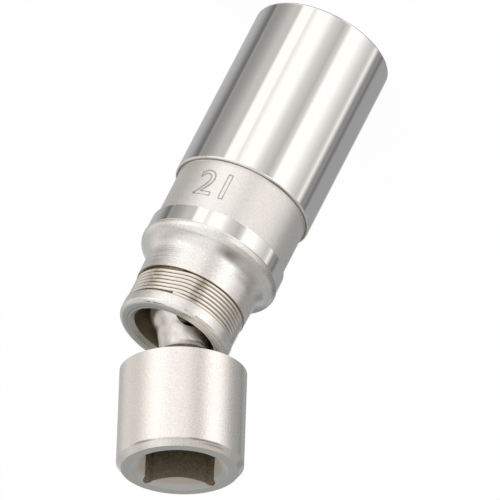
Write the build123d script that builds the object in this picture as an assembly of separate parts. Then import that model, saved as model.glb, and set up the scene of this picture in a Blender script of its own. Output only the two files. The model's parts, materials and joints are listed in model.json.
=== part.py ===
from build123d import *
import os
from math import atan2, cos, radians, sqrt, tan

# Swivel spark plug socket: a long 21 mm socket whose square-drive end is a ball on a cross pin.
# Millimetres. The socket stands on its open mouth: the mouth's face is z = 0, its axis is +Z,
# the cross pin lies along Y, and the drive end is bent over towards -X.

# Socket: hexagon and mouth
HEX_AF = 20.8
HEX_CORNER_R = 0.8
HEX_DEPTH = 21.0
MOUTH_CHAMFER_R = 12.5
MOUTH_CHAMFER_DEPTH = 1.5
MOUTH_ROUND = 0.4

# Socket: outside, from the mouth to the joint
TUBE_D = 27.3
TUBE_LEN = 37.45
TUBE_END_ROUND = 0.35
BAND_D = 25.9
BAND_LEN = 11.0
BAND_FILLET = 0.25
LAND_D = 27.05
LAND_LEN = 3.8
LAND_ROUND = 0.2
BULGE_D = 27.35
BULGE_LIP = 0.35
SHOULDER_FLAT = 0.2
SHOULDER_ROUND = 1.7
SHOULDER_DROP = 1.65
SHOULDER_FILLET = 3.3
NECK_D = 22.24
NECK_END_D = 21.9
NECK_LEN = 5.95
RIM_D = 21.86
RIM_LEN = 2.7
RIM_ROUND = 0.9
RIM_MOUTH_D = 17.28
RIM_CHAMFER = 0.6
RIM_CHAMFER_DEPTH = 0.8

# Socket: inside
PLUG_BORE_D = 18.8
PLUG_BORE_DEPTH = 48.0
GRIP_GROOVE_D = 20.2
GRIP_GROOVE_LEN = 2.2

# Rubber grip for the plug's insulator
GRIP_START = 25.5
GRIP_LEN = 15.5
GRIP_BORE_D = 12.8
GRIP_LIP_D = 11.6
GRIP_LIP_LEN = 1.2
GRIP_LIP_PITCH = 4.2
GRIP_LIPS = 3
GRIP_MOUTH_CHAMFER = 1.0
GRIP_RIB_POS = 4.0
GRIP_FIT = 0.05

# Retaining coil round the joint, over the ends of the cross pin
COIL_WIRE_D = 0.74
COIL_PITCH = 0.75
COIL_TURNS = 6.54
COIL_INNER_D = 20.04
COIL_END_ANGLE = -73.0
WIRE_SIDES = 8
COIL_FLOOR_GAP = 0.02
COIL_SIDE_GAP = 0.02

# Cross pin
PIN_D = 4.0
PIN_FIT = 0.04
PIN_EDGE = 0.12
PIN_END_GAP = 0.06
PIN_CHAMFER = 0.4

# Ball joint
BALL_D = 13.3
BALL_CLEARANCE = 0.35
FLARE_START = 0.8
SLOT_SWING = 31.5
SLOT_SIDE_GAP = 0.08
SLOT_SIDE_FLARE = 1.6
BEND = 22.8

# Spring under the ball, which keeps the joint where it is put
SPRING_MEAN_D = 5.0
SPRING_WIRE_D = 0.8
SPRING_PITCH = 1.4
SPRING_TURNS = 2.5
SPRING_BALL_GAP = 0.2
SPRING_SIDE_GAP = 0.3
SPRING_SEAT_GAP = 0.02

# Drive end
WAIST_D = 9.2
WAIST_START = 8.0
WAIST_LEN = 0.9
COLLAR_D = 10.8
COLLAR_FILLET = 3.0
FLARE_D = 12.6
HEAD_START = 12.9
HEAD_D = 23.75
HEAD_LEN = 19.7
HEAD_TOP_ROUND = 0.75
HEAD_FLARE_FILLET = 0.9
HEAD_BEVEL = 0.95
HEAD_BEVEL_DEPTH = 1.2
HEAD_BEVEL_ROUND = 0.4
SQUARE = 12.8
SQUARE_DEPTH = 16.5
SQUARE_TURN = 12.0
RELIEF_R = 1.1
RELIEF_OFFSET = 0.8
SINK_D = 18.0
SINK_DEPTH = 1.45
DETENT_R = 2.2
DETENT_DEPTH = 0.9
DETENT_POS = 8.6

# Places that follow from the sizes above
LAND_Z = TUBE_LEN + BAND_LEN
BULGE_Z = LAND_Z + LAND_LEN
SHOULDER_TURN = atan2((BULGE_D - NECK_D) / 2, SHOULDER_DROP)
SHOULDER_Z = BULGE_Z + SHOULDER_FLAT + SHOULDER_ROUND * tan(SHOULDER_TURN / 2)
NECK_Z = SHOULDER_Z + SHOULDER_DROP
GROOVE_Z = NECK_Z + NECK_LEN
GROOVE_W = COIL_TURNS * COIL_PITCH + COIL_WIRE_D + 2 * COIL_SIDE_GAP
RIM_Z = GROOVE_Z + GROOVE_W
TOP_Z = RIM_Z + RIM_LEN
GROOVE_FLOOR_R = COIL_INNER_D / 2 - COIL_FLOOR_GAP
PIN_BORE_R = PIN_D / 2 + PIN_FIT
JOINT_Z = GROOVE_Z + PIN_EDGE + PIN_D / 2
BALL_R = BALL_D / 2
SEAT_R = BALL_R + BALL_CLEARANCE
SPRING_MEAN_R = SPRING_MEAN_D / 2
SPRING_REACH = BALL_R + SPRING_WIRE_D / 2 + SPRING_BALL_GAP
SPRING_TOP_Z = JOINT_Z - sqrt(SPRING_REACH**2 - SPRING_MEAN_R**2)
SPRING_BASE_Z = SPRING_TOP_Z - SPRING_TURNS * SPRING_PITCH
POCKET_FLOOR_Z = SPRING_BASE_Z - SPRING_WIRE_D / 2 - SPRING_SEAT_GAP
POCKET_R = SPRING_MEAN_R + SPRING_WIRE_D / 2 + SPRING_SIDE_GAP
GRIP_GROOVE_Z = GRIP_START + GRIP_RIB_POS
HEAD_END = HEAD_START + HEAD_LEN

# How far a cutting tool runs past the face it enters
OVERCUT = 1.0


def turned(outline):
    """A solid turned about Z from a closed outline of (radius, height) points."""
    return revolve(make_face(Plane.XZ * outline), Axis.Z, 360)


def cone_cut(z_low, r_low, z_high, r_high):
    """A round or tapered cutting tool between two heights."""
    return turned(Polyline((0, z_low), (r_low, z_low), (r_high, z_high), (0, z_high), close=True))


def socket_outside():
    """Outside of the socket, as points from the mouth up, with the rounding of each corner."""
    tube_r, band_r, land_r = TUBE_D / 2, BAND_D / 2, LAND_D / 2
    bulge_r, neck_r = BULGE_D / 2, NECK_D / 2
    corners = [
        (0, 0, 0),
        (tube_r, 0, MOUTH_ROUND),
        (tube_r, TUBE_LEN, TUBE_END_ROUND),
        (band_r, TUBE_LEN, BAND_FILLET),
        (band_r, LAND_Z, 0),
        (land_r, LAND_Z, LAND_ROUND),
        (land_r, BULGE_Z - BULGE_LIP, 0),
        (bulge_r, BULGE_Z, 0),
        (bulge_r, SHOULDER_Z, SHOULDER_ROUND),
        (neck_r, NECK_Z, SHOULDER_FILLET),
        (NECK_END_D / 2, GROOVE_Z, 0),
        (GROOVE_FLOOR_R, GROOVE_Z, 0),
        (GROOVE_FLOOR_R, RIM_Z, 0),
        (RIM_D / 2, RIM_Z, 0),
        (RIM_D / 2, TOP_Z, RIM_ROUND),
        (0, TOP_Z, 0),
    ]
    points = [(r, z) for r, z, rounding in corners]
    return turned(FilletPolyline(*points, radius=[c[2] for c in corners], close=True))


def joint_cavity():
    """Hollow for the ball: spring pocket, coned seat, straight bore, flare and edge chamfer."""
    seat_cone_low = JOINT_Z - (SEAT_R * sqrt(2) - POCKET_R)
    seat_cone_high = JOINT_Z - SEAT_R * (sqrt(2) - 1)
    inner_r = RIM_MOUTH_D / 2 - RIM_CHAMFER
    outline = Polyline(
        (0, POCKET_FLOOR_Z),
        (POCKET_R, POCKET_FLOOR_Z),
        (POCKET_R, seat_cone_low),
        (SEAT_R, seat_cone_high),
        (SEAT_R, JOINT_Z + FLARE_START),
        (inner_r, TOP_Z - RIM_CHAMFER_DEPTH),
        (RIM_MOUTH_D / 2, TOP_Z),
        (RIM_MOUTH_D / 2, TOP_Z + OVERCUT),
        (0, TOP_Z + OVERCUT),
        close=True,
    )
    return turned(outline)


def socket_body():
    body = socket_outside()
    hexagon = RegularPolygon(HEX_AF / 2, 6, major_radius=False)
    hexagon = fillet(hexagon.vertices(), HEX_CORNER_R)
    body -= extrude(hexagon, HEX_DEPTH)
    mouth_slope = (MOUTH_CHAMFER_R - HEX_AF / 2) / MOUTH_CHAMFER_DEPTH
    body -= cone_cut(-OVERCUT, MOUTH_CHAMFER_R + OVERCUT * mouth_slope, MOUTH_CHAMFER_DEPTH, HEX_AF / 2)
    body -= cone_cut(0, PLUG_BORE_D / 2, PLUG_BORE_DEPTH, PLUG_BORE_D / 2)
    groove_top = GRIP_GROOVE_Z + GRIP_GROOVE_LEN
    body -= cone_cut(GRIP_GROOVE_Z, GRIP_GROOVE_D / 2, groove_top, GRIP_GROOVE_D / 2)
    body -= joint_cavity()
    cross_bore = Cylinder(PIN_BORE_R, TUBE_D, rotation=(90, 0, 0))
    body -= Pos(0, 0, JOINT_Z) * cross_bore
    return body


def plug_grip():
    """Rubber sleeve with three soft lips inside and one rib outside, which seats in the groove."""
    outer_r = PLUG_BORE_D / 2 - GRIP_FIT
    rib_r = GRIP_GROOVE_D / 2 - GRIP_FIT
    rib_low = GRIP_GROOVE_Z + GRIP_FIT
    rib_high = GRIP_GROOVE_Z + GRIP_GROOVE_LEN - GRIP_FIT
    end = GRIP_START + GRIP_LEN
    bore_r = GRIP_BORE_D / 2
    inside = [(bore_r, end)]
    for lip in reversed(range(GRIP_LIPS)):
        middle = GRIP_START + GRIP_LEN / 2 + (lip - (GRIP_LIPS - 1) / 2) * GRIP_LIP_PITCH
        inside.append((bore_r, middle + GRIP_LIP_LEN))
        inside.append((GRIP_LIP_D / 2, middle))
        inside.append((bore_r, middle - GRIP_LIP_LEN))
    inside.append((bore_r, GRIP_START + GRIP_MOUTH_CHAMFER))
    inside.append((bore_r + GRIP_MOUTH_CHAMFER, GRIP_START))
    outside = [
        (outer_r, GRIP_START),
        (outer_r, rib_low),
        (rib_r, rib_low),
        (rib_r, rib_high),
        (outer_r, rib_high),
        (outer_r, end),
    ]
    return turned(Polyline(*inside, *outside, close=True))


def wire_coil(mean_r, wire_r, pitch, turns):
    """A right-handed wire helix about Z, its lower end's centre at (mean_r, 0, 0)."""
    path = Helix(pitch=pitch, height=pitch * turns, radius=mean_r)
    start = Plane(origin=path @ 0, z_dir=path % 0, x_dir=(1, 0, 0))
    return sweep(start * RegularPolygon(wire_r, WIRE_SIDES), path=path, is_frenet=True)


def retaining_coil():
    wire_r = COIL_WIRE_D / 2
    coil = wire_coil(COIL_INNER_D / 2 + wire_r, wire_r, COIL_PITCH, COIL_TURNS)
    start_angle = COIL_END_ANGLE - 360 * COIL_TURNS
    return Pos(0, 0, GROOVE_Z + COIL_SIDE_GAP + wire_r) * Rot(0, 0, start_angle) * coil


def cross_pin():
    end_r = PIN_D / 2 - PIN_CHAMFER
    length = 2 * (sqrt(GROOVE_FLOOR_R**2 - end_r**2) - PIN_END_GAP)
    pin = Cylinder(PIN_D / 2, length)
    pin = chamfer(pin.edges().filter_by(GeomType.CIRCLE), PIN_CHAMFER)
    return Pos(0, 0, JOINT_Z) * Rot(90, 0, 0) * pin


def joint_spring():
    coil = wire_coil(SPRING_MEAN_R, SPRING_WIRE_D / 2, SPRING_PITCH, SPRING_TURNS)
    return Pos(0, 0, SPRING_BASE_Z) * coil


def knuckle_outside():
    """Ball, neck and head turned about Z, with the ball's centre at the origin."""
    head_r = HEAD_D / 2
    collar_r = COLLAR_D / 2
    collar_z = sqrt(BALL_R**2 - collar_r**2)
    with BuildSketch(Plane.XZ) as sketch:
        with BuildLine():
            ThreePointArc((0, -BALL_R), (BALL_R, 0), (collar_r, collar_z))
            Polyline(
                (collar_r, collar_z),
                (WAIST_D / 2, WAIST_START),
                (WAIST_D / 2, WAIST_START + WAIST_LEN),
                (FLARE_D / 2, HEAD_START),
                (head_r, HEAD_START),
                (head_r, HEAD_END - HEAD_BEVEL_DEPTH),
                (head_r - HEAD_BEVEL, HEAD_END),
                (0, HEAD_END),
                (0, -BALL_R),
            )
        make_face()
        corners = sketch.vertices()

        def corner(r, z):
            """The outline's corner nearest to a radius and a height."""
            return corners.sort_by_distance((r, 0, z))[0]

        fillet(corner(collar_r, collar_z), COLLAR_FILLET)
        fillet(corner(WAIST_D / 2, WAIST_START), COLLAR_FILLET)
        fillet(corner(FLARE_D / 2, HEAD_START), HEAD_FLARE_FILLET)
        fillet(corner(head_r, HEAD_START), HEAD_TOP_ROUND)
        fillet(corner(head_r, HEAD_END - HEAD_BEVEL_DEPTH), HEAD_BEVEL_ROUND)
        fillet(corner(head_r - HEAD_BEVEL, HEAD_END), HEAD_BEVEL_ROUND)
    return revolve(sketch.sketch, Axis.Z, 360)


def pin_slot():
    """Hourglass slot: the pin's width at the ball's middle, widening to both sides for the swing."""
    half_pin = PIN_D / 2 + SLOT_SIDE_GAP
    reach = BALL_R + OVERCUT
    mid_len = 2 * half_pin / cos(radians(SLOT_SWING))
    end_len = mid_len + 2 * reach * tan(radians(SLOT_SWING))
    slot = None
    for side in (1, -1):
        middle = Plane(origin=(0, 0, 0), x_dir=(0, 0, 1), z_dir=(0, side, 0))
        outer = middle.offset(reach)
        narrow = middle * SlotOverall(mid_len, 2 * half_pin)
        wide = outer * SlotOverall(end_len, 2 * (half_pin + SLOT_SIDE_FLARE))
        half = loft([narrow, wide], ruled=True)
        slot = half if slot is None else slot + half
    return slot


def square_hole():
    """Square hole with round reliefs along its corners."""
    outline = Rectangle(SQUARE, SQUARE)
    relief = SQUARE / 2 - RELIEF_OFFSET
    outline += [Pos(x, y) * Circle(RELIEF_R) for x in (-relief, relief) for y in (-relief, relief)]
    return Pos(0, 0, HEAD_END - SQUARE_DEPTH) * extrude(outline, SQUARE_DEPTH + OVERCUT)


def countersink():
    slope = SINK_DEPTH / (SINK_D / 2 - SQUARE / 2)
    tip_r = SQUARE / 2 - OVERCUT
    tip_z = HEAD_END - (SINK_D / 2 - tip_r) * slope
    return cone_cut(tip_z, tip_r, HEAD_END + OVERCUT, SINK_D / 2 + OVERCUT / slope)


def detent(turn):
    """Dimple in one wall of the square hole, for the ratchet's ball."""
    centre = Pos(SQUARE / 2 + DETENT_DEPTH - DETENT_R, 0, HEAD_END - DETENT_POS)
    return Rot(0, 0, 90 * turn) * centre * Sphere(DETENT_R, rotation=(0, 0, 180))


def drive_knuckle():
    square_place = Rot(0, 0, SQUARE_TURN)
    knuckle = knuckle_outside() - pin_slot() - countersink() - square_place * square_hole()
    for turn in range(4):
        knuckle -= square_place * detent(turn)
    return Pos(0, 0, JOINT_Z) * Rot(0, -BEND, 0) * knuckle


PARTS = {
    "socket_body": socket_body,
    "plug_grip": plug_grip,
    "retaining_coil": retaining_coil,
    "cross_pin": cross_pin,
    "joint_spring": joint_spring,
    "drive_knuckle": drive_knuckle,
}

os.makedirs("parts", exist_ok=True)
for name, make in PARTS.items():
    export_step(make(), f"parts/{name}.step")
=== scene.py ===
import json
from math import cos, pi, radians, sin

import bpy
from mathutils import Matrix, Vector


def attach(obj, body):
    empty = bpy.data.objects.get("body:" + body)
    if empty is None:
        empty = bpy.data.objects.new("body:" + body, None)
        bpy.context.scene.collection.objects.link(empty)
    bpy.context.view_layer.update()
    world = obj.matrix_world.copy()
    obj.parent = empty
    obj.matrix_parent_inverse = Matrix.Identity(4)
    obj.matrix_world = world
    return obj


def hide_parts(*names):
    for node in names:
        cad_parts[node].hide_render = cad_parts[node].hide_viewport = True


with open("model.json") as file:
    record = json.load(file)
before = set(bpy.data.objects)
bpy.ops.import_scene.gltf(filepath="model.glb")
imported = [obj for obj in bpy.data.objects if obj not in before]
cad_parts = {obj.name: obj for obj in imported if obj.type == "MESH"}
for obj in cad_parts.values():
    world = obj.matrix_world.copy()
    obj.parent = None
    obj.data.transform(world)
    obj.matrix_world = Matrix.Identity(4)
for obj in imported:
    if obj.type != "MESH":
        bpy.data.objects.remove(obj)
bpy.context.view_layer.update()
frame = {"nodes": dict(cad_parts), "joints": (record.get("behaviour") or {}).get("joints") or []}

MM = 0.001
DEGREES_PER_RADIAN = 180 / pi

# Places on the socket, in millimetres, from the mouth at z = 0
TUBE_TOP = 37.45
BAND_TOP = 48.45
CAVITY_START = 50.0
LIP_START = 51.9
NECK_START = 55.5
GROOVE_START = 60.976
RIM_START = 66.661
RIM_TOP = 69.361
BAND_R = 12.95
CAVITY_R = 8.6

# Drive end, in millimetres from the joint. Its axis is bent over towards -X at the joint.
PIVOT = Vector(frame["joints"][0]["pos_m"]) / MM
BEND = radians(22.8)
DRIVE_AXIS = Vector((-sin(BEND), 0.0, cos(BEND)))
BALL_R = 6.65
COLLAR_Z = 3.88
COLLAR_R = 5.4
WAIST_R = 4.6
NECK_SLOPE = 0.194
HEAD_START = 12.9
SQUARE_FLOOR = 16.1
BEVEL_START = 31.4
BEVEL_R = 10.925
HEAD_END = 32.6
SINK_R = 9.0
SINK_SLOPE = 0.558

# Coil round the joint. Its turns lie square to the axis and step to the next place twice a turn:
# at the kink beside the wire's upper end and at the back.
COIL_WIRE_R = 0.385
COIL_INNER_R = 10.02
COIL_OUTER_R = COIL_INNER_R + 2 * COIL_WIRE_R
COIL_FLOOR_GAP = 0.015
COIL_START_Z = GROOVE_START + COIL_FLOOR_GAP + COIL_WIRE_R
COIL_SPACING = 0.81
COIL_START_ANGLE = 100.0
COIL_END_ANGLE = 291.0
COIL_FULL_TURNS = 6
COIL_KINK = 12.0
COIL_SAMPLE = 3.0
COIL_ROUNDNESS = 4

# Size number on the band: stamped outlines, read with the open mouth up
NUMBER = "21"
NUMBER_HEIGHT = 5.6
NUMBER_ANGLE = -62.0
NUMBER_Z = 43.0
NUMBER_RIDGE_R = 0.15
NUMBER_RIDGE_ROUNDNESS = 2
NUMBER_CURVE_STEPS = 6
FONT_DIGIT_HEIGHT = 0.7

# Places of the Mix node's two inputs and of its output, by data type
MIX_SOCKETS = {"FLOAT": (2, 3, 0), "RGBA": (6, 7, 2)}


def srgb(value):
    """Linear value of an sRGB level from 0 to 255."""
    v = value / 255
    return v / 12.92 if v <= 0.04045 else ((v + 0.055) / 1.055) ** 2.4


def tint(r, g, b):
    """Linear RGBA of an sRGB colour from 0 to 255."""
    return (srgb(r), srgb(g), srgb(b), 1.0)


class Graph:
    """Short names for building a node tree. Places are in millimetres."""

    def __init__(self, tree):
        self.tree = tree
        tree.nodes.clear()

    def node(self, kind, inputs=None, **settings):
        made = self.tree.nodes.new("ShaderNode" + kind)
        for name, value in settings.items():
            setattr(made, name, value)
        for name, value in (inputs or {}).items():
            self.feed(made.inputs[name], value)
        return made

    def feed(self, socket, value):
        if isinstance(value, bpy.types.NodeSocket):
            self.tree.links.new(value, socket)
        else:
            socket.default_value = value

    def math(self, operation, *values):
        made = self.node("Math", operation=operation)
        for socket, value in zip(made.inputs, values):
            self.feed(socket, value)
        return made.outputs[0]

    def vector(self, operation, *values):
        made = self.node("VectorMath", operation=operation)
        for socket, value in zip(made.inputs, values):
            self.feed(socket, value)
        return made.outputs["Value" if operation in ("DOT_PRODUCT", "LENGTH") else "Vector"]

    def step(self, value, low, high):
        """0 below low, 1 above high, smooth between; with low above high it falls."""
        rising = low < high
        made = self.node("MapRange", interpolation_type="SMOOTHSTEP")
        self.feed(made.inputs["Value"], value)
        self.feed(made.inputs["From Min"], low if rising else high)
        self.feed(made.inputs["From Max"], high if rising else low)
        self.feed(made.inputs["To Min"], 0.0 if rising else 1.0)
        self.feed(made.inputs["To Max"], 1.0 if rising else 0.0)
        return made.outputs[0]

    def span(self, value, low, high, soft):
        """1 between low and high, with soft edges."""
        rise = self.step(value, low - soft, low + soft)
        fall = self.step(value, high + soft, high - soft)
        return self.both(rise, fall)

    def either(self, *masks):
        """The greatest of the masks."""
        total = masks[0]
        for mask in masks[1:]:
            total = self.math("MAXIMUM", total, mask)
        return total

    def both(self, a, b):
        return self.math("MULTIPLY", a, b)

    def other(self, mask):
        """1 where the mask is 0, and 0 where it is 1."""
        return self.math("SUBTRACT", 1.0, mask)

    def mix(self, data_type, factor, a, b, **settings):
        place_a, place_b, place_out = MIX_SOCKETS[data_type]
        made = self.node("Mix", data_type=data_type, **settings)
        self.feed(made.inputs["Factor"], factor)
        self.feed(made.inputs[place_a], a)
        self.feed(made.inputs[place_b], b)
        return made.outputs[place_out]

    def blend(self, factor, a, b):
        """Colour that goes from a to b with the factor."""
        return self.mix("RGBA", factor, a, b)

    def level(self, factor, a, b):
        """Number that goes from a to b with the factor."""
        return self.mix("FLOAT", factor, a, b)

    def shade(self, colour, mask, tone):
        """The colour, multiplied by a tone where the mask is 1."""
        return self.mix("RGBA", mask, colour, tone, blend_type="MULTIPLY")

    def choose(self, factor, a, b):
        """Shader that goes from a to b with the factor."""
        made = self.node("MixShader", {"Fac": factor})
        self.feed(made.inputs[1], a.outputs[0])
        self.feed(made.inputs[2], b.outputs[0])
        return made

    def noise(self, vector, scale, detail=3.0, rough=0.5):
        inputs = {"Vector": vector, "Scale": scale, "Detail": detail, "Roughness": rough}
        return self.node("TexNoise", inputs).outputs[0]

    def bump(self, height, depth, below=None):
        """Normal of a surface raised by height (0 to 1) times depth, in millimetres."""
        made = self.node("Bump", {"Height": height, "Distance": depth * MM, "Strength": 1.0})
        if below is not None:
            self.feed(made.inputs["Normal"], below)
        return made.outputs[0]


class Surface:
    """A material with the place of each point along and from an axis, in millimetres.

    Turn is the angle about the axis in degrees, from -Y towards +X.
    """

    def __init__(self, name, origin=Vector((0, 0, 0)), axis=Vector((0, 0, 1)), metallic=1.0):
        self.material = bpy.data.materials.new(name)
        self.material.use_nodes = True
        g = self.graph = Graph(self.material.node_tree)
        self.shader = g.node("BsdfPrincipled", {"Metallic": metallic})
        g.node("OutputMaterial", {"Surface": self.shader.outputs[0]})
        place = g.vector("MULTIPLY", g.node("TexCoord").outputs["Object"], (1 / MM,) * 3)
        self.place = g.vector("SUBTRACT", place, tuple(origin))
        self.along = g.vector("DOT_PRODUCT", self.place, tuple(axis))
        self.radius = g.vector("LENGTH", g.vector("CROSS_PRODUCT", self.place, tuple(axis)))
        side = Vector((axis[2], 0.0, -axis[0]))
        turned = g.math("ARCTAN2", g.vector("DOT_PRODUCT", self.place, tuple(side)),
                        g.vector("DOT_PRODUCT", self.place, (0.0, -1.0, 0.0)))
        self.turn = g.math("MULTIPLY", turned, DEGREES_PER_RADIAN)

    def set(self, **values):
        for name, value in values.items():
            self.graph.feed(self.shader.inputs[name.replace("_", " ")], value)


def paint(obj, surface):
    obj.data.materials.clear()
    obj.data.materials.append(surface.material)


# Small relief. Noises are (features per millimetre, detail, roughness), depths in millimetres.
GRAIN_NOISE = (2.8, 2.0, 0.7)
GRAIN_STEP = (0.72, 0.28)
GRAIN_SHADE = tint(242, 241, 240)
GRAIN_DEPTH = 0.03
LINES_SCALE = 5.0
LINES_DETAIL = 2.0
LINES_DEPTH = 0.03
PIMPLE_SCALE = 0.22
PIMPLE_STEP = (0.05, 0.02)
PIMPLE_DEPTH = 0.03
MOTTLE_SCALE = 2.5


def frosted_grain(s, amount, colour):
    """Fine frosted grain: colour and normal; amount (0 to 1) says where it lies."""
    g = s.graph
    grain = g.noise(s.place, *GRAIN_NOISE)
    between = g.both(g.step(grain, *GRAIN_STEP), amount)
    return g.shade(colour, between, GRAIN_SHADE), g.bump(g.both(grain, amount), GRAIN_DEPTH)


def turning_lines(s, amount, below):
    """Faint lines round the axis, left by turning."""
    g = s.graph
    inputs = {"W": s.along, "Scale": LINES_SCALE, "Detail": LINES_DETAIL}
    lines = g.node("TexNoise", inputs, noise_dimensions="1D").outputs[0]
    return g.bump(g.both(lines, amount), LINES_DEPTH, below)


def pimples(s, amount, below):
    """A few tiny specks in the plating."""
    g = s.graph
    cells = g.node("TexVoronoi", {"Vector": s.place, "Scale": PIMPLE_SCALE}).outputs["Distance"]
    return g.bump(g.both(g.step(cells, *PIMPLE_STEP), amount), PIMPLE_DEPTH, below)


# Socket: radii that lie between its bores and its outside; each step along it leads to the next.
# What is further out than the wall by OUTSIDE_STEP belongs to the outside.
LOW_WALL_R = 12.6
LOW_WALL_STEP = (28.0, 29.0)
HIGH_WALL_R = 10.6
HIGH_WALL_STEP = (60.0, 61.0)
OUTSIDE_STEP = (0.0, 0.02)

# Socket: where each finish and shade lies. Spans are (from, to, softness) and steps (from, to), in
# millimetres along the axis, or from it where the name has an R. Turns are spans in degrees.
BAND_SPAN = (TUBE_TOP - 0.2, BAND_TOP - 0.02, 0.03)
SATIN_TOP_STEP = (LIP_START - 0.03, LIP_START + 0.03)
TURNED_STEP = (NECK_START - 0.5, NECK_START + 0.5)
INSIDE_STEP = (0.17, 0.23)
BORE_STEP = (CAVITY_START, CAVITY_START - 1.0)
CAVITY_STEP = (CAVITY_START, CAVITY_START + 2.0)
CAVITY_MOUTH_STEP = (RIM_TOP - 0.95, RIM_TOP - 0.75)
MOUTH_EDGE_STEP = (0.32, 0.2)
MOUTH_EDGE_R_STEP = (13.2, 13.3)
LEDGE_SPAN = (TUBE_TOP - 0.03, TUBE_TOP + 0.1, 0.03)
LEDGE_R_STEP = (13.4, 13.3)
GROOVE_EDGE_SPAN = (GROOVE_START - 0.1, GROOVE_START + 0.1, 0.05)
RIM_EDGE_SPAN = (RIM_START - 0.1, RIM_START + 0.15, 0.05)
RING_R_SPAN = (9.1, 9.22, 0.04)
RING_STEP = (RIM_TOP - 0.05, RIM_TOP - 0.01)
TOP_NICK_SPAN = (RIM_TOP - 0.02, RIM_TOP + 0.06, 0.03)
TOP_NICK_TURN = (24.0, 46.0, 5.0)
SIDE_NICK_SPAN = (RIM_TOP - 0.5, RIM_TOP - 0.4, 0.03)
SIDE_NICK_TURN = (-34.0, 2.0, 5.0)
DIM_TURN = (-28.0, -10.0, 8.0)
CREST_SPAN = (52.3, 53.3, 0.3)
CREST_TURN = (-85.0, -14.0, 10.0)
LEE_SPAN = (54.8, 57.2, 0.8)
LEE_TURN = (-52.0, -25.0, 7.0)
HOLLOW_SPAN = (54.0, 55.3, 0.6)
HOLLOW_TURN = (-20.0, -1.0, 10.0)
RIM_FACE_STEP = (RIM_TOP - 0.2, RIM_TOP - 0.05)
MILKY_TURN = (-75.0, -8.0, 8.0)

# Socket: colours (a pair is the range that a noise runs through) and the shades that multiply them
POLISHED = tint(246, 244, 241)
SATIN = tint(253, 250, 245)
BORE = tint(168, 164, 158)
# Painted shade: the cavity below the chamfer is dark, its tone mottled by a noise
CAVITY_PAINTED_SHADE = (tint(126, 118, 98), tint(168, 158, 136))
CAVITY_MOUTH = (tint(222, 221, 218), tint(246, 245, 242))
# Painted shade along the rounded outer edge of the mouth
MOUTH_EDGE_PAINTED_SHADE = tint(150, 147, 143)
# Painted shade in the step at the tube's top
LEDGE_PAINTED_SHADE = tint(176, 165, 148)
# Painted shade along the groove's and the rim's edges
EDGES_PAINTED_SHADE = tint(214, 206, 195)
RING_SHADE = tint(196, 190, 182)
NICKS_SHADE = tint(150, 144, 136)
# Painted shade on one side of the band
DIM_PAINTED_SHADE = tint(238, 236, 233)
# Painted shade on the shoulder's crest, on one side
CREST_PAINTED_SHADE = tint(222, 220, 217)
# Painted shade where the shoulder runs into the neck, on one side
LEE_PAINTED_SHADE = tint(216, 215, 213)
# Painted shade in the shoulder's concave hollow
HOLLOW_PAINTED_SHADE = tint(170, 168, 164)

# Socket: noises, roughness (a pair is a range) and how metallic it is
CAVITY_MOTTLE_NOISE = (0.9, 4.0, 0.65)
WEAR_SCALE = 1.3
WEAR_STEP = (0.42, 0.5)
NICK_WAVE = 0.3
POLISHED_ROUGH = 0.035
SATIN_ROUGH = (0.2, 0.29)
BAND_ROUGH = (0.3, 0.42)
INSIDE_ROUGH = 0.45
CAVITY_MOUTH_ROUGH = 0.4
BORE_METAL = 0.6
MILKY_METAL = 0.25


def socket_marks_and_painted_shade(s, colour, band, satin, outside):
    """Painted shade on the socket's edges, band and shoulder; a darker ring and nicks on its rim."""
    g = s.graph
    z = s.along
    # Painted shade: a dark line along the mouth's rounded outer edge
    mouth_edge = g.both(g.step(z, *MOUTH_EDGE_STEP), g.step(s.radius, *MOUTH_EDGE_R_STEP))
    colour = g.blend(mouth_edge, colour, MOUTH_EDGE_PAINTED_SHADE)
    # Painted shade: a dark line in the step at the tube's top
    ledge = g.both(g.span(z, *LEDGE_SPAN), g.step(s.radius, *LEDGE_R_STEP))
    colour = g.blend(g.both(ledge, outside), colour, LEDGE_PAINTED_SHADE)
    # Painted shade along the groove's and the rim's edges on the satin
    edges = g.either(g.span(z, *GROOVE_EDGE_SPAN), g.span(z, *RIM_EDGE_SPAN))
    colour = g.shade(colour, g.both(edges, satin), EDGES_PAINTED_SHADE)
    ring = g.both(g.span(s.radius, *RING_R_SPAN), g.step(z, *RING_STEP))
    colour = g.shade(colour, ring, RING_SHADE)
    breakup_noise = g.noise(s.place, WEAR_SCALE)
    wavy = g.math("MULTIPLY_ADD", breakup_noise, NICK_WAVE, z)
    nicks = g.either(g.both(g.span(wavy, *TOP_NICK_SPAN), g.span(s.turn, *TOP_NICK_TURN)),
                     g.both(g.span(wavy, *SIDE_NICK_SPAN), g.span(s.turn, *SIDE_NICK_TURN)))
    colour = g.shade(colour, g.both(nicks, g.step(breakup_noise, *WEAR_STEP)), NICKS_SHADE)
    # Painted shade on one side of the band
    dim = g.both(band, g.span(s.turn, *DIM_TURN))
    colour = g.shade(colour, g.both(dim, outside), DIM_PAINTED_SHADE)
    # Painted shade on the shoulder's crest, on one side
    crest = g.both(g.span(z, *CREST_SPAN), g.span(s.turn, *CREST_TURN))
    colour = g.shade(colour, g.both(crest, outside), CREST_PAINTED_SHADE)
    # Painted shade where the shoulder runs into the neck, on one side
    lee = g.both(g.span(z, *LEE_SPAN), g.span(s.turn, *LEE_TURN))
    colour = g.shade(colour, g.both(lee, outside), LEE_PAINTED_SHADE)
    # Painted shade in the shoulder's concave hollow
    hollow = g.both(g.span(z, *HOLLOW_SPAN), g.span(s.turn, *HOLLOW_TURN))
    return g.shade(colour, hollow, HOLLOW_PAINTED_SHADE)


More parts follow.
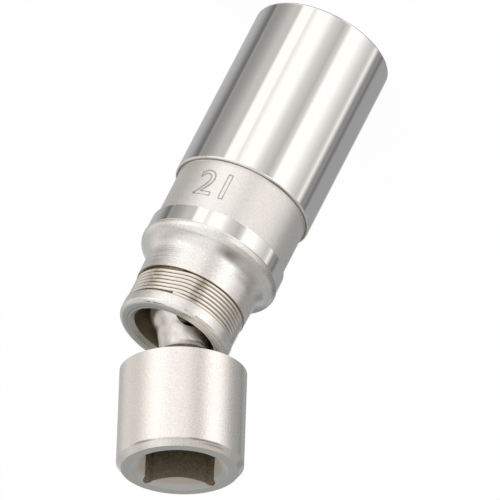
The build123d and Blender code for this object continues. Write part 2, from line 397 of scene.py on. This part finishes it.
def socket_steel():
    s = Surface("socket_chrome")
    g = s.graph
    z = s.along
    low_wall_r = g.level(g.step(z, *LOW_WALL_STEP), LOW_WALL_R, HIGH_WALL_R)
    wall_r = g.level(g.step(z, *HIGH_WALL_STEP), low_wall_r, CAVITY_R)
    outside = g.step(g.math("SUBTRACT", s.radius, wall_r), *OUTSIDE_STEP)
    band = g.span(z, *BAND_SPAN)
    satin = g.both(g.either(band, g.step(z, *SATIN_TOP_STEP)), outside)
    inside = g.both(g.other(outside), g.step(z, *INSIDE_STEP))
    cavity = g.both(inside, g.step(z, *CAVITY_STEP))
    cavity_mouth = g.step(z, *CAVITY_MOUTH_STEP)

    mottled = g.noise(s.place, MOTTLE_SCALE)
    frosted = g.level(mottled, g.level(band, SATIN_ROUGH[0], BAND_ROUGH[0]),
                      g.level(band, SATIN_ROUGH[1], BAND_ROUGH[1]))
    rough = g.level(satin, POLISHED_ROUGH, frosted)
    rough = g.level(inside, rough, g.level(cavity_mouth, INSIDE_ROUGH, CAVITY_MOUTH_ROUGH))

    # Painted shade in the cavity, mottled by this noise; the chamfer at its mouth keeps a light steel
    # colour
    cavity_mottle = g.noise(s.place, *CAVITY_MOTTLE_NOISE)
    shaded_cavity_and_chamfer = g.blend(cavity_mouth, g.blend(cavity_mottle, *CAVITY_PAINTED_SHADE), g.blend(cavity_mottle, *CAVITY_MOUTH))
    colour = g.blend(satin, POLISHED, SATIN)
    colour = g.blend(inside, colour, BORE)
    colour = g.blend(cavity, colour, shaded_cavity_and_chamfer)
    colour = socket_marks_and_painted_shade(s, colour, band, satin, outside)

    colour, normal = frosted_grain(s, satin, colour)
    normal = turning_lines(s, g.both(satin, g.step(z, *TURNED_STEP)), normal)
    normal = pimples(s, g.both(g.other(satin), outside), normal)

    bore = g.both(inside, g.step(z, *BORE_STEP))
    rim_face = g.both(g.step(z, *RIM_FACE_STEP), outside)
    milky = g.both(rim_face, g.span(s.turn, *MILKY_TURN))
    metal = g.level(milky, g.level(bore, 1.0, BORE_METAL), MILKY_METAL)
    s.set(Base_Color=colour, Roughness=rough, Normal=normal, Metallic=metal)
    return s


# Drive end: where each finish and shade lies, as for the socket, from the joint along its own axis.
# The hole's colour starts HOLE_DROP below the countersink, and the slot's under the neck's skin.
HEAD_STEP = (HEAD_START - 0.3, HEAD_START)
HOLE_DROP = 0.12
HOLE_TOP_STEP = (0.04, -0.04)
HOLE_FLOOR_STEP = (SQUARE_FLOOR - 1.5, SQUARE_FLOOR - 1.0)
HOLE_R_STEP = (9.6, 9.4)
CONE_R_STEP = (SINK_R + 0.02, SINK_R - 0.06)
CONE_TINT_R_STEP = (8.3, 7.3)
FACE_R_SPAN = (SINK_R, BEVEL_R, 0.05)
FACE_STEP = (HEAD_END - 0.1, HEAD_END - 0.02)
SLOT_BALL_STEP = (BALL_R - 0.1, BALL_R - 0.3)
SLOT_NECK_R_STEP = (-0.1, -0.16)
SLOT_NECK_SPAN = (COLLAR_Z, HEAD_START - 1.0, 0.1)
CLEAR_STEP = (HEAD_END - 9.0, HEAD_END - 2.5)
ROOT_STEP = (7.6, 10.0)
EDGE_SPAN = (BEVEL_START - 0.2, BEVEL_START + 0.15, 0.1)
LEFT_WISP_TURN = (41.0, 58.0, 7.0)
RIGHT_WISP_TURN = (-27.0, 4.0, 6.0)
NEAR_TURN = (0.0, 44.0, 6.0)
LOW_EDGE_SPAN = (BEVEL_START + 0.35, BEVEL_START + 0.6, 0.15)
LOW_EDGE_TURN = (-30.0, -10.0, 6.0)

# Drive end: colours and shades
HEAD = tint(253, 248, 242)
JOINT = (tint(230, 225, 218), tint(250, 246, 240))
CONE = (tint(236, 235, 232), tint(232, 216, 200))
# Painted shade: the square hole's walls are darker deeper in; a noise mottles both ranges
DEEP_WALLS_PAINTED_SHADE = (tint(150, 141, 121), tint(196, 186, 164))
CLEAR_WALLS = (tint(186, 174, 154), tint(226, 214, 194))
# Painted shade: the pin's slot is dark, mottled by a noise
SLOT_PAINTED_SHADE = (tint(116, 108, 88), tint(164, 150, 124))
# Painted shade on the neck's root next to the head
ROOT_PAINTED_SHADE = tint(178, 171, 160)
# Painted shade in dark strokes and lines along the head's bevel edge
WISPS_PAINTED_SHADE = tint(180, 177, 173)
NEAR_PAINTED_SHADE = tint(236, 234, 231)
LOW_EDGE_PAINTED_SHADE = tint(204, 200, 195)

# Drive end: noises, roughness and how metallic it is
HOLE_MOTTLE_NOISE = (2.6, 4.0, 0.7)
HOLE_MOTTLE_STEP = (0.32, 0.68)
CLOUD_NOISE = (0.5, 4.0, 0.6)
CLOUD_STEP = (0.34, 0.66)
CLOUD_DEPTH = 0.055
HEAD_ROUGH = (0.2, 0.3)
HOLE_ROUGH = 0.5
CONE_ROUGH = 0.4
FACE_GRAIN_LOSS = 0.7
JOINT_METAL = 0.94
ROOT_METAL = 0.4


def pin_slot(s):
    """Mask of the pin's slot: what lies under the skin of the ball and of the neck."""
    g = s.graph
    within_ball = g.step(g.vector("LENGTH", s.place), *SLOT_BALL_STEP)
    cone_r = g.math("MULTIPLY_ADD", s.along, -NECK_SLOPE, COLLAR_R + NECK_SLOPE * COLLAR_Z)
    neck_r = g.math("MAXIMUM", cone_r, WAIST_R)
    under_neck = g.step(g.math("SUBTRACT", s.radius, neck_r), *SLOT_NECK_R_STEP)
    return g.either(within_ball, g.both(under_neck, g.span(s.along, *SLOT_NECK_SPAN)))


def head_painted_shade(s, colour, head):
    """Painted shade along the edge between the head's side and its bevel."""
    g = s.graph
    edge = g.both(g.span(s.along, *EDGE_SPAN), head)
    wisps = g.either(g.span(s.turn, *RIGHT_WISP_TURN), g.span(s.turn, *LEFT_WISP_TURN))
    colour = g.shade(colour, g.both(edge, wisps), WISPS_PAINTED_SHADE)
    colour = g.shade(colour, g.both(edge, g.span(s.turn, *NEAR_TURN)), NEAR_PAINTED_SHADE)
    low_edge = g.both(g.span(s.along, *LOW_EDGE_SPAN), head)
    return g.shade(colour, g.both(low_edge, g.span(s.turn, *LOW_EDGE_TURN)), LOW_EDGE_PAINTED_SHADE)


def drive_steel():
    s = Surface("drive_satin", PIVOT, DRIVE_AXIS)
    g = s.graph
    head = g.step(s.along, *HEAD_STEP)
    joint = g.other(head)
    sink = g.math("MULTIPLY_ADD", g.math("SUBTRACT", s.radius, SINK_R), SINK_SLOPE, HEAD_END)
    hole_top = g.math("SUBTRACT", g.math("MINIMUM", sink, HEAD_END), HOLE_DROP)
    under = g.step(g.math("SUBTRACT", s.along, hole_top), *HOLE_TOP_STEP)
    hole = g.both(g.both(under, g.step(s.radius, *HOLE_R_STEP)), g.step(s.along, *HOLE_FLOOR_STEP))
    cone = g.both(g.both(g.step(s.radius, *CONE_R_STEP), head), g.other(hole))
    face = g.both(g.span(s.radius, *FACE_R_SPAN), g.step(s.along, *FACE_STEP))
    slot = pin_slot(s)
    cast = g.both(joint, g.other(slot))
    root = g.both(g.step(s.along, *ROOT_STEP), joint)

    rough = g.level(g.noise(s.place, MOTTLE_SCALE), *HEAD_ROUGH)
    rough = g.level(g.either(hole, slot), rough, HOLE_ROUGH)
    rough = g.level(cone, rough, CONE_ROUGH)

    hole_mottle = g.step(g.noise(s.place, *HOLE_MOTTLE_NOISE), *HOLE_MOTTLE_STEP)
    cloud = g.noise(s.place, *CLOUD_NOISE)
    # Painted shade: the square hole's walls darken deeper in, mottled by a noise
    shaded_walls = g.blend(g.step(s.along, *CLEAR_STEP), g.blend(hole_mottle, *DEEP_WALLS_PAINTED_SHADE), g.blend(hole_mottle, *CLEAR_WALLS))
    colour = g.blend(joint, HEAD, g.blend(g.step(cloud, *CLOUD_STEP), *JOINT))
    # Painted shade on the neck's root next to the head
    colour = g.shade(colour, root, ROOT_PAINTED_SHADE)
    colour = g.blend(cone, colour, g.blend(g.step(s.radius, *CONE_TINT_R_STEP), *CONE))
    colour = g.blend(hole, colour, shaded_walls)
    # Painted shade inside the pin's slot, mottled by a noise
    colour = g.blend(slot, colour, g.blend(hole_mottle, *SLOT_PAINTED_SHADE))
    colour = head_painted_shade(s, colour, head)

    plain = g.either(g.both(g.either(face, joint), FACE_GRAIN_LOSS), hole, slot, cone)
    colour, normal = frosted_grain(s, g.other(plain), colour)
    normal = g.bump(g.both(cloud, cast), CLOUD_DEPTH, normal)
    metal = g.level(cast, 1.0, g.level(root, JOINT_METAL, ROOT_METAL))
    s.set(Base_Color=colour, Roughness=rough, Normal=normal, Metallic=metal)
    return s


# Coil: bronze-coloured wire, with painted shade between its turns, at the kinks and on one side
WIRE = tint(244, 236, 226)
# Painted shade between the turns, on the wire's sides below its crest
WIRE_GAP_PAINTED_SHADE = tint(176, 160, 138)
WIRE_GAP_R_STEP = (COIL_OUTER_R - 0.14, COIL_OUTER_R - 0.3)
WIRE_ROUGH = (0.06, 0.16)
WIRE_NOISE_SCALE = 1.1
# Painted shade at the wire's kinks, broken up by a noise
KINKS_TURN = (-7.0, 3.0, 5.0)
KINKS_NOISE_STEP = (0.3, 0.5)
KINKS_PAINTED_SHADE = tint(216, 211, 204)
# Painted shade on one side of the coil, broken up by a noise
SIDE_SHADE_TURN = (44.0, 58.0, 6.0)
SIDE_SHADE_NOISE_STEP = (0.35, 0.6)
SIDE_PAINTED_SHADE = tint(226, 220, 210)


def coil_steel():
    s = Surface("coil_bronze")
    g = s.graph
    breakup_noise = g.noise(s.place, WIRE_NOISE_SCALE)
    # Painted shade between the turns, on the wire's sides below its crest
    colour = g.blend(g.step(s.radius, *WIRE_GAP_R_STEP), WIRE, WIRE_GAP_PAINTED_SHADE)
    # Painted shade at the wire's kinks, broken up by a noise
    kinks = g.both(g.span(s.turn, *KINKS_TURN), g.step(breakup_noise, *KINKS_NOISE_STEP))
    colour = g.shade(colour, kinks, KINKS_PAINTED_SHADE)
    # Painted shade on one side of the coil, broken up by a noise
    side_painted_shade = g.both(g.span(s.turn, *SIDE_SHADE_TURN), g.step(breakup_noise, *SIDE_SHADE_NOISE_STEP))
    colour = g.shade(colour, side_painted_shade, SIDE_PAINTED_SHADE)
    s.set(Base_Color=colour, Roughness=g.level(breakup_noise, *WIRE_ROUGH))
    return s


# Number, pin, spring and grip
NUMBER_STEEL = tint(198, 190, 180)
NUMBER_ROUGH = 0.18
GROUND_STEEL = tint(190, 188, 184)
GROUND_SCALE = 3.0
GROUND_ROUGH = (0.25, 0.4)
RUBBER = (tint(24, 24, 24), tint(38, 37, 36))
RUBBER_NOISE = (4.0, 4.0)
RUBBER_ROUGH = 0.7
RUBBER_DEPTH = 0.02


def number_steel():
    s = Surface("number_chrome")
    s.set(Base_Color=NUMBER_STEEL, Roughness=NUMBER_ROUGH)
    return s


def ground_steel():
    s = Surface("pin_steel")
    g = s.graph
    s.set(Base_Color=GROUND_STEEL, Roughness=g.level(g.noise(s.place, GROUND_SCALE), *GROUND_ROUGH))
    return s


def rubber():
    s = Surface("grip_rubber", metallic=0.0)
    g = s.graph
    speckle = g.noise(s.place, *RUBBER_NOISE)
    normal = g.bump(speckle, RUBBER_DEPTH)
    s.set(Base_Color=g.blend(speckle, *RUBBER), Roughness=RUBBER_ROUGH, Normal=normal)
    return s


# Studio, as the metal sees it: panels by azimuth in degrees, from one edge to the other, with
# the brightness (0 to 255) at each edge. Between two panels the light changes evenly.
WARM = (1.02, 0.997, 0.98)
PLAIN = (1.0, 1.0, 1.0)
COOL = (0.975, 1.003, 1.018)
LOW_PANELS = [
    (-173.5, -172.5, 236, 236, WARM),
    (-169.5, -164.0, 208, 192, WARM),
    (-154.0, -146.0, 212, 232, WARM),
    (-137.5, -117.0, 255, 255, PLAIN),
    (-112.0, -104.0, 208, 181, WARM),
    (-88.0, -81.0, 211, 238, WARM),
    (-76.5, -58.5, 255, 255, PLAIN),
    (-51.0, -50.0, 232, 232, WARM),
    (-47.0, -31.5, 254, 254, PLAIN),
    (-27.0, -16.0, 193, 191, WARM),
    (-2.0, 5.0, 162, 151, PLAIN),
    (14.0, 19.5, 144, 152, WARM),
    (23.5, 28.5, 113, 113, PLAIN),
    (40.0, 50.0, 152, 170, COOL),
    (62.0, 72.0, 176, 182, COOL),
    (100.0, 113.0, 195, 151, COOL),
    (121.0, 158.0, 152, 152, COOL),
    (164.0, 167.0, 116, 116, PLAIN),
    (171.0, 178.0, 138, 138, PLAIN),
]
HIGH_PANELS = [
    (-172.0, -160.0, 176, 212, WARM),
    (-150.0, -142.0, 238, 256, PLAIN),
    (-134.0, -107.0, 266, 264, PLAIN),
    (-96.0, -86.0, 206, 200, WARM),
    (-77.0, -69.0, 230, 240, WARM),
    (-60.0, -46.0, 246, 248, PLAIN),
    (-38.0, -20.0, 262, 266, PLAIN),
    (-8.0, 2.0, 238, 212, WARM),
    (14.0, 32.0, 202, 212, WARM),
    (46.0, 52.0, 206, 190, WARM),
    (60.0, 78.0, 178, 182, COOL),
    (86.0, 94.0, 218, 206, COOL),
    (102.0, 112.0, 128, 122, COOL),
    (116.0, 128.0, 178, 172, COOL),
    (131.0, 148.0, 126, 132, COOL),
    (152.0, 166.0, 168, 150, COOL),
]
TOP_PANELS = [
    (-176.0, -168.0, 160, 166, WARM),
    (-150.0, -120.0, 184, 192, WARM),
    (-106.0, -88.0, 208, 208, WARM),
    (-72.0, -26.0, 230, 236, PLAIN),
    (-2.0, 2.0, 210, 206, WARM),
    (16.0, 20.0, 178, 180, WARM),
    (36.0, 42.0, 206, 204, WARM),
    (58.0, 80.0, 180, 160, COOL),
    (88.0, 92.0, 134, 134, COOL),
    (108.0, 114.0, 150, 150, COOL),
    (132.0, 156.0, 160, 165, COOL),
]

# Elevations in degrees between which the low panels stand, and over which the top ones take over
LOW_BAND = (-33.0, -23.0)
LOW_BAND_SOFT = 0.04
TOP_BAND = (6.0, 18.0)
METAL_LEVEL = 0.91
WHITE = (1.0, 1.0, 1.0, 1.0)
EVEN_LIGHT = 0.7


def panel_edges(panels):
    """Edges as (azimuth, linear colour), in order, carried on past both ends of the full turn."""
    edges = []
    for start, end, low, high, colour in panels:
        for angle, shade in ((start, low), (end, high)):
            light = srgb(shade) / METAL_LEVEL
            edges.append((angle, Vector(colour) * light))
    edges.sort(key=lambda edge: edge[0])
    first, last = edges[0], edges[-1]
    return [(last[0] - 360, last[1])] + edges + [(first[0] + 360, first[1])]


def light_at(edges, angle):
    """Linear colour at an azimuth, changing evenly from one edge to the next."""
    for (a, low), (b, high) in zip(edges, edges[1:]):
        if a <= angle <= b:
            return low.lerp(high, (angle - a) / (b - a))


def panel_light(g, azimuth, panels):
    """Light by azimuth in degrees: one colour ramp for each half turn."""
    edges = panel_edges(panels)
    halves = []
    for start in (-180.0, 0.0):
        between = [angle for angle, light in edges if start < angle < start + 180]
        angles = [start, *between, start + 180]
        place = g.math("MULTIPLY_ADD", azimuth, 1 / 180, -start / 180)
        ramp = g.node("ValToRGB", {"Fac": place})
        stops = ramp.color_ramp.elements
        stops.remove(stops[1])
        for n, angle in enumerate(angles):
            stop = stops[0] if n == 0 else stops.new((angle - start) / 180)
            stop.color = (*light_at(edges, angle), 1.0)
        halves.append(ramp.outputs[0])
    return g.blend(g.math("GREATER_THAN", azimuth, 0.0), *halves)


def studio_world():
    world = bpy.data.worlds.new("studio")
    bpy.context.scene.world = world
    world.use_nodes = True
    g = Graph(world.node_tree)
    toward = g.node("SeparateXYZ", {"Vector": g.node("TexCoord").outputs["Generated"]}).outputs
    azimuth = g.math("MULTIPLY", g.math("ARCTAN2", toward[1], toward[0]), DEGREES_PER_RADIAN)
    low = panel_light(g, azimuth, LOW_PANELS)
    high = panel_light(g, azimuth, HIGH_PANELS)
    top = panel_light(g, azimuth, TOP_PANELS)
    in_band = g.span(toward[2], sin(radians(LOW_BAND[0])), sin(radians(LOW_BAND[1])), LOW_BAND_SOFT)
    in_top = g.step(toward[2], sin(radians(TOP_BAND[0])), sin(radians(TOP_BAND[1])))
    light = g.blend(in_top, g.blend(in_band, high, low), top)
    panels = g.node("Background", {"Color": light, "Strength": 1.0})
    even = g.node("Background", {"Color": WHITE, "Strength": EVEN_LIGHT})
    white = g.node("Background", {"Color": WHITE, "Strength": 1.0})
    ray = g.node("LightPath").outputs
    lit = g.choose(ray["Is Glossy Ray"], even, panels)
    seen = g.choose(ray["Is Camera Ray"], lit, white)
    g.node("OutputWorld", {"Surface": seen.outputs[0]})


# Floor, lamps and camera, in metres. The camera has a long lens, looks down on the standing socket
# and is rolled as in the photograph.
FLOOR_HALF = 6.0
FLOOR_Z = -0.05 * MM
FLOOR_COLOUR = (0.95, 0.95, 0.95, 1.0)
FLOOR_GLOW = 0.94
LAMP_AIM = (0.0, 0.0, 0.04)
LAMP_SIZE = 0.9
CAMERA_LENS = 864.0
CAMERA_SENSOR = 36.0
CAMERA_CLIP = (0.1, 100.0)
CAMERA_PLACE = Vector((0.03686, -1.97473, 1.10458))
CAMERA_RIGHT = Vector((-0.8832, -0.2362, -0.4051))
CAMERA_UP = Vector((0.4686, -0.4097, -0.7826))


def add_object(name, data):
    obj = bpy.data.objects.new(name, data)
    bpy.context.scene.collection.objects.link(obj)
    return obj


def floor():
    """White floor that keeps the object's shadow, and that isn't seen from below."""
    mesh = bpy.data.meshes.new("floor")
    corners = [(x * FLOOR_HALF, y * FLOOR_HALF, FLOOR_Z) for x, y in ((-1, -1), (1, -1), (1, 1), (-1, 1))]
    mesh.from_pydata(corners, [], [(0, 1, 2, 3)])
    plane = add_object("floor", mesh)
    material = bpy.data.materials.new("floor_white")
    material.use_nodes = True
    g = Graph(material.node_tree)
    matt = g.node("BsdfDiffuse", {"Color": FLOOR_COLOUR})
    glow = g.node("Emission", {"Color": WHITE, "Strength": 1.0})
    white = g.choose(g.both(g.node("LightPath").outputs["Is Camera Ray"], FLOOR_GLOW), matt, glow)
    above = g.choose(g.node("NewGeometry").outputs["Backfacing"], white, g.node("BsdfTransparent"))
    g.node("OutputMaterial", {"Surface": above.outputs[0]})
    mesh.materials.append(material)
    plane.visible_glossy = False
    plane.visible_diffuse = False


def lamp(name, place, power):
    data = bpy.data.lights.new(name, "AREA")
    data.shape = "DISK"
    data.size = LAMP_SIZE
    data.energy = power
    obj = add_object(name, data)
    obj.location = place
    obj.rotation_euler = (Vector(LAMP_AIM) - Vector(place)).to_track_quat("-Z", "Y").to_euler()
    obj.visible_glossy = False


def camera():
    data = bpy.data.cameras.new("camera")
    data.lens = CAMERA_LENS
    data.sensor_width = CAMERA_SENSOR
    data.clip_start, data.clip_end = CAMERA_CLIP
    obj = add_object("camera", data)
    back = CAMERA_RIGHT.cross(CAMERA_UP).normalized()
    up = back.cross(CAMERA_RIGHT).normalized()
    right = up.cross(back)
    obj.matrix_world = Matrix.Translation(CAMERA_PLACE) @ Matrix((right, up, back)).transposed().to_4x4()
    bpy.context.scene.camera = obj


def mesh_of(curve, name):
    """A mesh object of a curve's final shape."""
    made = add_object(name, curve)
    mesh = bpy.data.meshes.new_from_object(made)
    bpy.data.objects.remove(made)
    return add_object(name, mesh)


def tube_curve(name, radius, roundness):
    """An empty curve whose lines become round tubes."""
    curve = bpy.data.curves.new(name, "CURVE")
    curve.dimensions = "3D"
    curve.bevel_depth = radius * MM
    curve.bevel_resolution = roundness
    return curve


def on_cylinder(radius, angle, z):
    """Point of a curve, in metres, by its place on a cylinder round the socket's axis."""
    return (*(Vector((radius * cos(angle), radius * sin(angle), z)) * MM), 1.0)


def ease(t):
    """0 up to t = 0, 1 from t = 1 on, smooth between."""
    t = min(max(t, 0.0), 1.0)
    return t * t * (3 - 2 * t)


def coil_height(angle):
    """Height of the wire's middle at an angle in degrees, counted on from the coil's start."""
    height = COIL_START_Z
    for turn in range(COIL_FULL_TURNS):
        for middle in (COIL_END_ANGLE + 360 * turn, COIL_START_ANGLE + 360 * (turn + 1)):
            height += COIL_SPACING / 2 * ease((angle - middle) / (2 * COIL_KINK) + 0.5)
    return height


def wound_coil():
    curve = tube_curve("coil", COIL_WIRE_R, COIL_ROUNDNESS)
    curve.use_fill_caps = True
    sweep = COIL_END_ANGLE + 360 * COIL_FULL_TURNS - COIL_START_ANGLE
    steps = int(sweep / COIL_SAMPLE)
    spline = curve.splines.new("POLY")
    spline.points.add(steps)
    for n, point in enumerate(spline.points):
        angle = COIL_START_ANGLE + sweep * n / steps
        point.co = on_cylinder(COIL_INNER_R + COIL_WIRE_R, radians(angle), coil_height(angle))
    obj = mesh_of(curve, "wound_coil")
    for face in obj.data.polygons:
        is_side = len(face.vertices) == 4
        face.use_smooth = is_side
    return obj


def outlines(mesh):
    """The closed lines of a mesh made of edges alone, as lists of points."""
    links = {}
    for edge in mesh.edges:
        a, b = edge.vertices
        links.setdefault(a, []).append(b)
        links.setdefault(b, []).append(a)
    left = set(links)
    loops = []
    while left:
        onward = [min(left)]
        loop = []
        while onward:
            loop.append(onward[0])
            left.discard(onward[0])
            onward = [n for n in links[onward[0]] if n in left]
        loops.append([mesh.vertices[n].co.copy() for n in loop])
    return loops


def size_number():
    text = bpy.data.curves.new("number", "FONT")
    text.body = NUMBER
    text.size = NUMBER_HEIGHT / FONT_DIGIT_HEIGHT
    text.align_x = "CENTER"
    text.align_y = "CENTER"
    text.fill_mode = "NONE"
    text.resolution_u = NUMBER_CURVE_STEPS
    flat = mesh_of(text, "flat_number")
    loops = outlines(flat.data)
    bpy.data.objects.remove(flat)
    ridge = tube_curve("ridge", NUMBER_RIDGE_R, NUMBER_RIDGE_ROUNDNESS)
    for loop in loops:
        spline = ridge.splines.new("POLY")
        spline.points.add(len(loop) - 1)
        spline.use_cyclic_u = True
        for point, at in zip(spline.points, loop):
            point.co = on_cylinder(BAND_R, radians(NUMBER_ANGLE) - at.x / BAND_R, NUMBER_Z - at.y)
    obj = mesh_of(ridge, "size_number")
    for face in obj.data.polygons:
        face.use_smooth = True
    return obj


nodes = frame["nodes"]
paint(nodes["socket_body"], socket_steel())
paint(nodes["drive_knuckle"], drive_steel())
paint(nodes["cross_pin"], ground_steel())
paint(nodes["joint_spring"], ground_steel())
paint(nodes["plug_grip"], rubber())
winding = wound_coil()
paint(winding, coil_steel())
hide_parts("retaining_coil")
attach(winding, "socket")
number = size_number()
paint(number, number_steel())
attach(number, "socket")

studio_world()
floor()
lamp("key", place=(0.5, -0.9, 1.2), power=6.0)
lamp("fill", place=(-0.9, 0.3, 1.0), power=4.0)
camera()
bpy.context.scene.view_settings.view_transform = "Standard"
